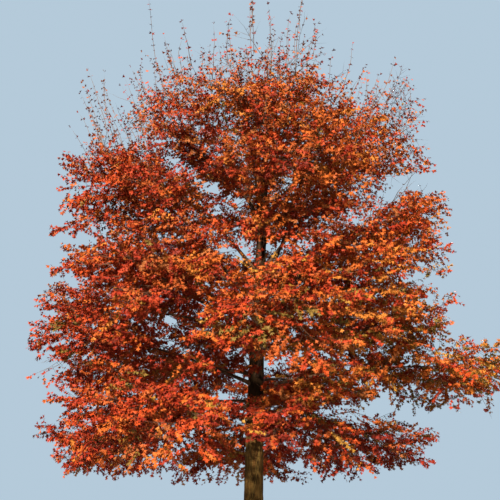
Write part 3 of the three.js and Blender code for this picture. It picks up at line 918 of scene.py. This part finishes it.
# Pairs of leaves along each of m lines, from a share of it to its end: each leaf's base, the directions of
# the leaf and its face, its size and its tint. What is added to a vector's length keeps it from being 0.
def leaves_on(lines, tints, first, step, scale, rng):
    lengths = np.linalg.norm(np.diff(lines, axis=1), axis=2).sum(1)
    counts = np.maximum(1, np.round(lengths * (1 - first) / step)).astype(int)
    node = np.arange(counts.max())[None]
    used = node < counts[:, None]
    from_end = np.minimum(node + rng.uniform(-PAIR_SHIFT, PAIR_SHIFT, used.shape), counts[:, None])
    shares = 1 - (1 - first) * from_end / counts[:, None]
    at, aim = on_lines(lines, shares.clip(0, LAST_LEAF))
    at, aim, node = at[used], aim[used], np.broadcast_to(node, used.shape)[used]
    tints = np.broadcast_to(tints[:, None], used.shape)[used]
    level = unit(np.cross(aim, UP) + [1e-6, 0, 0])
    upper = np.cross(level, aim)
    turn = (node % 2) * math.pi / 2 + rng.normal(0, PAIR_TWIST, len(node))
    side = level * np.cos(turn)[:, None] + upper * np.sin(turn)[:, None]
    angle = np.where(node == 0, END_LEAF_ANGLE, LEAF_ANGLE) + rng.normal(0, LEAF_ANGLE_PLAY, len(node))
    angle = np.radians(angle)[:, None]
    pairs = []
    for sign in (-1, 1):
        along = aim * np.cos(angle) + sign * side * np.sin(angle)
        along = along - UP * rng.uniform(*LEAF_DROOP, (len(node), 1))
        along = unit(along + rng.normal(0, LEAF_PLAY, along.shape))
        outward = at * LEVEL
        outward = outward / (np.linalg.norm(outward, axis=1, keepdims=True) + 1)
        face = FACE_OUT * outward + FACE_UP * UP + rng.normal(0, FACE_PLAY, along.shape)
        face = unit(face - along * (face * along).sum(1, keepdims=True))
        size = scale * LEAF_LENGTH * rng.uniform(*LEAF_SIZES, len(node))
        pairs.append((at, along, face, size, tints))
    return [np.concatenate(parts) for parts in zip(*pairs)]


def leaf_mesh(at, along, face, size, tints):
    across = np.cross(face, along)
    frames = np.stack([along, across, face], axis=1)
    points = at[:, None] + size[:, None, None] * (LEAF_POINTS[None] @ frames)
    faces = LEAF_FACES[None] + (np.arange(len(at)) * len(LEAF_POINTS))[:, None, None]
    return points.reshape(-1, 3), faces.reshape(-1, 3), np.repeat(tints, len(LEAF_FACES))


# How likely each tint is at a place, with darker tints dealt out as painted shade under the crown on the
# right
def tint_weights(at):
    right, upper, lower = ramp(at[0], RIGHT_ZONE), ramp(at[2], UPPER_ZONE), ramp(at[2], LOWER_ZONE)
    # Painted shade: under the crown on the right the darker tints grow commoner
    painted_shade = ramp(at[0], PAINTED_SHADE_ZONE[0]) * ramp(at[2], PAINTED_SHADE_ZONE[1])
    zones = {
        "left": 1 - right,
        "right": right,
        "upper": upper,
        "upper_left": (1 - right) * upper,
        "lower_left": (1 - right) * lower,
        "lower_right": right * lower,
        "golden": ramp(at[0], GOLDEN_FROM) * ramp(abs(at[2] - GOLDEN_HEIGHT), (GOLDEN_HALF, 0)),
    }
    weights = [tint.common + sum(more * zones[zone] for zone, more in tint.zones.items()) for tint in TINTS]
    return np.array(weights) * [mix(1, tint.painted_shade, painted_shade) for tint in TINTS]


# The tints of a spray's twigs: most share the spray's own
def tints_of(pose, count, rng):
    weights = tint_weights(spray_middle(pose))
    weights = weights / weights.sum()
    own = rng.choice(len(TINTS), p=weights)
    others = rng.choice(len(TINTS), count, p=weights)
    return np.where(rng.random(count) < OWN_TINT, own, others)


# The axes and side twigs of a mass's sprays, and the tint that each has for its leaves
def dress_sprays(mass, twigs, rng):
    axes, sides, axis_tints, side_tints, sizes = [], [], [], [], []
    for pose in map(kept_within, mass.sprays):
        axis, side = spray_twigs(pose, rng)
        side = side[rng.random(len(side)) > bareness(side[:, 1])]
        tints = tints_of(pose, len(side) + 1, rng)
        axes.append(axis)
        sides.append(side)
        axis_tints.append(tints[0])
        side_tints.append(tints[1:])
        sizes.append(pose.length / SPRAY_LENGTH[1])
    axes, sides = np.array(axes), np.concatenate(sides)
    radii = np.array(AXIS_RADII)[None] * mix(AXIS_THINNEST, 1, np.array(sizes))[:, None]
    side_radii = np.full((len(sides), 1), TWIG_RADIUS)
    twigs.append((pointed_tubes(axes, radii, TWIG_SIDES), TWIG_LOOK))
    twigs.append((pointed_tubes(sides, side_radii, TWIG_SIDES), TWIG_LOOK))
    return (sides, np.concatenate(side_tints)), (axes, np.array(axis_tints))


# A branch as a tube that bends a little between its ends
def branch_tube(ends, radii, sides, rng):
    line = np.array([mix(*ends, share) for share in np.linspace(0, 1, len(radii) + 1)])
    line[1:-1] += rng.normal(0, BRANCH_KINK, (len(radii) - 1, 3))
    return pointed_tubes([line], [radii], sides), STEM_LOOK


def dress_stems(mass, twigs, rng):
    stem = mass.curve(np.linspace(mass.start, 1, STEM_POINTS))
    radii = mix(mass.radius / STEM_START, STEM_END, np.linspace(0, 1, STEM_POINTS) ** STEM_TAPER)
    twigs.append((pointed_tubes([stem], [radii[:-1]], STEM_SIDES), STEM_LOOK))
    for branch, thick in mass.branches:
        radii = mix(thick, BRANCH_END, np.linspace(0, 1, BRANCH_POINTS))
        twigs.append(branch_tube(branch, radii[:-1], BRANCH_SIDES, rng))
    radii = np.linspace(*FINE_BRANCH_RADII, FINE_BRANCH_POINTS - 1)
    for branch in mass.fine_branches:
        twigs.append(branch_tube(branch, radii, TWIG_SIDES, rng))


def leaves_of_sprays(on_sides, on_axes, rng):
    sides = leaves_on(*on_sides, LEAF_FROM, LEAF_STEP, 1, rng)
    axes = leaves_on(*on_axes, AXIS_LEAF_FROM, LEAF_STEP, 1, rng)
    parts = [np.concatenate(pair) for pair in zip(sides, axes)]
    sparse = np.maximum(THINNING * thinness(parts[0]), bareness(parts[0]))
    kept = rng.random(len(sparse)) > sparse
    return [part[kept] for part in parts]


# A shoot bends in one bow and has kinks that add up towards its tip.
def dress_shoot(shoot, twigs, rng):
    shares = np.linspace(0, 1, SHOOT_POINTS)[:, None]
    bow = rng.normal(0, SHOOT_BOW * length_of(shoot), 3) * LEVEL
    line = mix(*shoot, shares) + bow * np.sin(math.pi * shares)
    line[1:] += np.cumsum(rng.normal(0, SHOOT_KINK, (SHOOT_POINTS - 1, 3)) * KINK_SHAPE, axis=0)
    radii = np.linspace(*SHOOT_RADII, SHOOT_POINTS - 1)
    twigs.append((pointed_tubes([line], [radii], TWIG_SIDES), SHOOT_LOOK))
    tint = np.array([rng.choice(SHOOT_TINTS)])
    step = mix(*SHOOT_LEAF_STEP, rng.random())
    return leaves_on(line[None], tint, SHOOT_LEAF_FROM, step, SHOOT_LEAF_SIZE, rng)


def dress(mass, twigs, leaves, rng):
    on_sides, on_axes = dress_sprays(mass, twigs, rng)
    dress_stems(mass, twigs, rng)
    leaves.append(leaves_of_sprays(on_sides, on_axes, rng))
    leaves += [dress_shoot(shoot, twigs, rng) for shoot in mass.shoots]


# Leaves that would touch the trunk or a bough are skipped.
def clear_leaves(points, tree):
    clear = clear_of_trunk(points, LEAF_CLEARANCE)
    for start in range(0, len(points), BATCH):
        part = slice(start, start + BATCH)
        clear[part] &= clear_of_boughs(points[part], tree, LEAF_CLEARANCE)
    return clear


def waves(up, angle, rows):
    return sum(size * np.sin(times * angle + up / pitch + shift) for size, times, pitch, shift in rows)


# Cells that fit round a limb: for each place its nearest cell's own number, and how near a cell's edge it is
def plates(across, up, columns, rng):
    rows = int(up.max()) + SPARE_ROWS
    spots = rng.random((columns, rows, 3))
    column, row = np.floor(across).astype(int), np.floor(up).astype(int) + 1
    apart, numbers = [], []
    for i in (-1, 0, 1):
        for j in (-1, 0, 1):
            spot = spots[(column + i) % columns, row + j]
            dx = column + i + SPOT_FROM + SPOT_PLAY * spot[..., 0] - across
            dy = row - 1 + j + spot[..., 1] - up
            apart.append(np.hypot(dx, dy))
            numbers.append(spot[..., 2])
    apart, numbers = np.stack(apart), np.stack(numbers)
    order = np.argsort(apart, axis=0)
    near = np.take_along_axis(apart, order[:2], axis=0)
    own = np.take_along_axis(numbers, order[:1], axis=0)[0]
    return own, near[1] - near[0]


def crevices_at(edge, width):
    return np.clip(1 - edge / width, 0, 1)


def note(made, name, values):
    attribute = made.data.attributes.new(name, "FLOAT", "POINT")
    attribute.data.foreach_set("value", values.astype(np.float32).ravel())


def trunk_piece(bark, rng):
    fine = np.arange(0, FINE_RINGS_TO, FINE_RING)
    coarse = np.arange(FINE_RINGS_TO, LEADER_TIP, COARSE_RING)
    heights = np.concatenate([fine, coarse, [LEADER_TIP]]).astype(float)
    z, angle = np.meshgrid(heights, angles_round(TRUNK_MESH_SIDES), indexing="ij")
    wander = 0
    for size, pitch, inner_size, times in PLATE_WANDER:
        wander = wander + size * np.sin(z / pitch + inner_size * np.sin(times * angle))
    turn = (angle + waves(z, angle, PLATE_TURNS)) / (2 * math.pi)
    across = (turn * PLATE_COLUMNS + wander) % PLATE_COLUMNS
    up = z / PLATE_HEIGHT + waves(z, angle, PLATE_RISES)
    number, edge = plates(across, up + FIRST_PLATE, PLATE_COLUMNS, rng)
    strip_columns = STRIPS * PLATE_COLUMNS
    strip_up = z / STRIP_HEIGHT + waves(z, angle, STRIP_RISES) + FIRST_STRIP
    strip_number, strip_edge = plates((across * STRIPS) % strip_columns, strip_up, strip_columns, rng)
    crevice = crevices_at(edge, CREVICE_WIDTH) ** CREVICE_SHARPNESS * mix(*CREVICE_DEPTH, number)
    strip_crevice = crevices_at(strip_edge, STRIP_CREVICE_WIDTH) * strip_number
    lifted = PLATE_LIFT * number - crevice - STRIP_DEPTH * strip_crevice + STRIP_LIFT * strip_number
    radius = trunk_radius(z) * flare_at(z, angle) * (1 + waves(z, angle, BULGES))
    radius = radius + TRUNK_RELIEF * trunk_radius(z) * lifted
    centre = trunk_centre(heights)[:, None]
    points = centre + np.stack([radius * np.cos(angle), radius * np.sin(angle), np.zeros_like(z)], -1)
    faces = tube_faces(len(heights), TRUNK_MESH_SIDES)
    made = piece("trunk_bark_mesh", points.reshape(-1, 3), faces, [bark], smooth=True)
    # Painted shadow of the crown: the bark darkens upwards, and this goes into the crevice attribute together
    # with the crevices' darkness
    painted_crown_shadow = SHADED_BARK * ramp(z + waves(z, angle, SHADE_EDGE), SHADED_FROM)
    # The crevices' darkness for the colour, partly the bark's own and partly painted shade in the recesses
    dark = CREVICE_TONES[0] * crevice + CREVICE_TONES[1] * strip_crevice
    note(made, "crevice", np.clip(np.maximum(dark, painted_crown_shadow), 0, 1))
    note(made, "plate", PLATE_TONES[0] * number + PLATE_TONES[1] * strip_number)
    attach(made, "root")
    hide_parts("trunk")


# A bough's points, and how deep in a crevice and on which plate each of them is
def bough_surface(limb, rng):
    step = np.linspace(0, 1, BOUGH_RINGS)
    centre = limb.curve(step * BOUGH_SHARE)
    out = np.maximum(0, np.linalg.norm(centre - limb.start, axis=1) - trunk_radius(centre[:, 2]))
    radius = limb.tier.radius * mix(1, BOUGH_END, step) * (1 + COLLAR * np.exp(-out / COLLAR_LENGTH))
    aim = unit(np.gradient(centre, axis=0))
    side = unit(np.cross(UP, aim))
    top = np.cross(aim, side)
    along, angle = np.meshgrid(step * length_of(centre), angles_round(BOUGH_SIDES), indexing="ij")
    across = angle / (2 * math.pi) * BOUGH_COLUMNS
    number, edge = plates(across, along / BOUGH_PLATE, BOUGH_COLUMNS, rng)
    crevice = crevices_at(edge, CREVICE_WIDTH)
    swells = [(*swell, rng.uniform(*BOUGH_SHIFT)) for swell in BOUGH_SWELLS]
    relief = BOUGH_RELIEF * (BOUGH_PLATE_LIFT * number - crevice)
    rim = radius[:, None] * (1 + waves(along, angle, swells) + relief)
    points = centre[:, None] + side[:, None] * (rim * np.cos(angle))[..., None]
    points = points + top[:, None] * (rim * np.sin(angle))[..., None]
    return points.reshape(-1, 3), crevice.ravel(), number.ravel()


def bough_piece(tier, limbs, bark, rng):
    own = [limb for limb in limbs if limb.tier is tier]
    points, crevices, numbers = zip(*(bough_surface(limb, rng) for limb in own))
    faces = tube_faces(BOUGH_RINGS, BOUGH_SIDES)
    mesh = joined([(each, faces) for each in points])
    made = piece(f"{tier.name}_bough_bark_mesh", *mesh, [bark], smooth=True)
    # The crevices' darkness, partly painted shade, goes to the bough bark's colour
    note(made, "crevice", np.concatenate(crevices))
    note(made, "plate", np.concatenate(numbers))
    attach(made, "root")
    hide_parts(*(limb.name for limb in own))


# The twigs and the leaves of one tier, each kind joined
def foliage_pieces(tier_name, masses, tree, twig_looks, leaf_looks, rng):
    own = [mass for mass in masses if mass.tier == tier_name]
    twigs, leaves = [], []
    for mass in own:
        dress(mass, twigs, leaves, rng)
    twig_mesh = joined([mesh for mesh, look in twigs])
    own_looks = np.concatenate([np.full(len(mesh[1]), look) for mesh, look in twigs])
    at, along, face, size, tints = [np.concatenate(parts) for parts in zip(*leaves)]
    clear = clear_leaves(at + along * size[:, None] * LEAF_MIDDLE, tree)
    points, faces, leaf_tints = leaf_mesh(at[clear], along[clear], face[clear], size[clear], tints[clear])
    for made, slot in (
        (piece(f"{tier_name}_twigs", *twig_mesh, twig_looks, own_looks), "bough_bark"),
        (piece(f"{tier_name}_leaf_sprays", points, faces, leaf_looks, leaf_tints), f"{tier_name}_leaves"),
    ):
        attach(made, "root")
        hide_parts(*(mass.name for mass in own))


def put(node, inputs):
    for key, value in inputs.items():
        node.inputs[key].default_value = value


# Each row is a node and its output, and the node and input that they go to.
def connect(graph, rows):
    for start, output, end, into in rows:
        graph.links.new(start.outputs[output], end.inputs[into])


def material(name, colour, roughness, shine=SHINE):
    made = bpy.data.materials.new(name)
    made.use_nodes = True
    shader = made.node_tree.nodes["Principled BSDF"]
    put(shader, {"Base Color": (*colour, 1), "Roughness": roughness, "Specular IOR Level": shine})
    return made


# Bark whose plates have tones of their own, with a grain along the limb and dark crevices, whose darkness is
# partly painted shade. On the trunk the crevice attribute also carries the crown's painted shadow.
def bark_material(name, light, mid, dark, grain):
    made = bpy.data.materials.new(name)
    made.use_nodes = True
    graph = made.node_tree
    shader = graph.nodes["Principled BSDF"]
    put(shader, {"Roughness": LIMB_ROUGHNESS, "Specular IOR Level": LIMB_SHINE})

    def node(kind, inputs, **values):
        new = graph.nodes.new(kind)
        for key, value in values.items():
            setattr(new, key, value)
        put(new, inputs)
        return new

    place = node("ShaderNodeTexCoord", {})
    stretch = node("ShaderNodeMapping", {"Scale": (grain, grain, grain * GRAIN_STRETCH)})
    noise = node("ShaderNodeTexNoise", {"Scale": 1.0, "Detail": 6.0, "Roughness": 0.65})
    plate = node("ShaderNodeAttribute", {}, attribute_name="plate")
    crevice = node("ShaderNodeAttribute", {}, attribute_name="crevice")
    plate_share = node("ShaderNodeMath", {1: PLATE_SHARE}, operation="MULTIPLY")
    tone = node("ShaderNodeMath", {1: NOISE_SHARE}, operation="MULTIPLY_ADD")
    bands = node("ShaderNodeValToRGB", {})
    for band, position, colour in zip(bands.color_ramp.elements, BANDS, (mid, light)):
        band.position = position
        band.color = (*colour, 1)
    shade = node("ShaderNodeMix", {MIX_TO: (*dark, 1)}, data_type="RGBA")
    bump = node("ShaderNodeBump", {"Strength": 0.5, "Distance": 0.004})
    connect(graph, [
        (place, "Object", stretch, "Vector"),
        (stretch, "Vector", noise, "Vector"),
        (plate, "Fac", plate_share, 0),
        (noise, "Fac", tone, 0),
        (plate_share, 0, tone, 2),
        (tone, 0, bands, "Fac"),
        (crevice, "Fac", shade, MIX_SHARE),
        (bands, "Color", shade, MIX_FROM),
        (shade, MIX_RESULT, shader, "Base Color"),
        (noise, "Fac", bump, "Height"),
        (bump, "Normal", shader, "Normal"),
    ])
    return made


# The camera sees the backdrop, and the tree is lit by the ambient light.
def sky():
    world = bpy.context.scene.world or bpy.data.worlds.new("studio")
    bpy.context.scene.world = world
    world.use_nodes = True
    nodes = world.node_tree.nodes
    ambient = nodes["Background"]
    put(ambient, {"Color": (*AMBIENT, 1), "Strength": AMBIENT_STRENGTH})
    backdrop = nodes.new("ShaderNodeBackground")
    put(backdrop, {"Color": (*BACKDROP, 1)})
    seen = nodes.new("ShaderNodeLightPath")
    choice = nodes.new("ShaderNodeMixShader")
    connect(world.node_tree, [
        (seen, "Is Camera Ray", choice, 0),
        (ambient, "Background", choice, 1),
        (backdrop, "Background", choice, 2),
        (choice, "Shader", nodes["World Output"], "Surface"),
    ])


def sun(name, azimuth, rise, strength, colour, width):
    light = bpy.data.lights.new(name, "SUN")
    light.energy = strength
    light.color = colour
    light.angle = math.radians(width)
    made = placed(name, light)
    made.rotation_euler = Vector(heading(azimuth, rise)).to_track_quat("Z", "Y").to_euler()


def camera():
    lens = bpy.data.cameras.new("camera")
    lens.lens = LENS
    lens.sensor_width = SENSOR
    made = placed("camera", lens)
    made.location = [MM * each for each in EYE]
    made.rotation_euler = (math.radians(90 + TILT), 0, 0)
    bpy.context.scene.camera = made


# The tree
limbs = [limb for index, tier in enumerate(TIERS) for limb in limbs_of(tier, index)]
masses = masses_of(limbs)
tree = SimpleNamespace(
    limb_lines=np.array([limb.line for limb in limbs]),
    limb_radii=np.array([limb.tier.radius for limb in limbs]),
    axes=np.array([mass.axis for mass in masses]),
)
for mass in masses:
    grow(mass, tree)

rng = np.random.default_rng(LEAF_SEED)
trunk_piece(bark_material("trunk_bark", *TRUNK_BARK), rng)
# Bough bark with painted shade of the crown in its darker colours
bough_bark = bark_material("bough_bark", *SHADED_BOUGH_BARK)
for tier in TIERS:
    bough_piece(tier, limbs, bough_bark, rng)

leaf_looks = [material(f"leaf_{tint.name}", tint.colour, LEAF_ROUGHNESS, LEAF_SHINE) for tint in TINTS]
twig_looks = [material(*bark) for bark in TWIG_BARKS]
for tier_name in [*(tier.name for tier in TIERS), "leader"]:
    foliage_pieces(tier_name, masses, tree, twig_looks, leaf_looks, rng)

# Floor, light and camera
corners = FLOOR_HALF * np.array([(-1, -1, 0), (1, -1, 0), (1, 1, 0), (-1, 1, 0)])
floor = piece("floor", corners, np.array([(0, 1, 2, 3)]), [material(*FLOOR_GREY)])
sky()
for each in SUNS:
    sun(*each)
camera()
bpy.context.scene.view_settings.view_transform = "Standard"
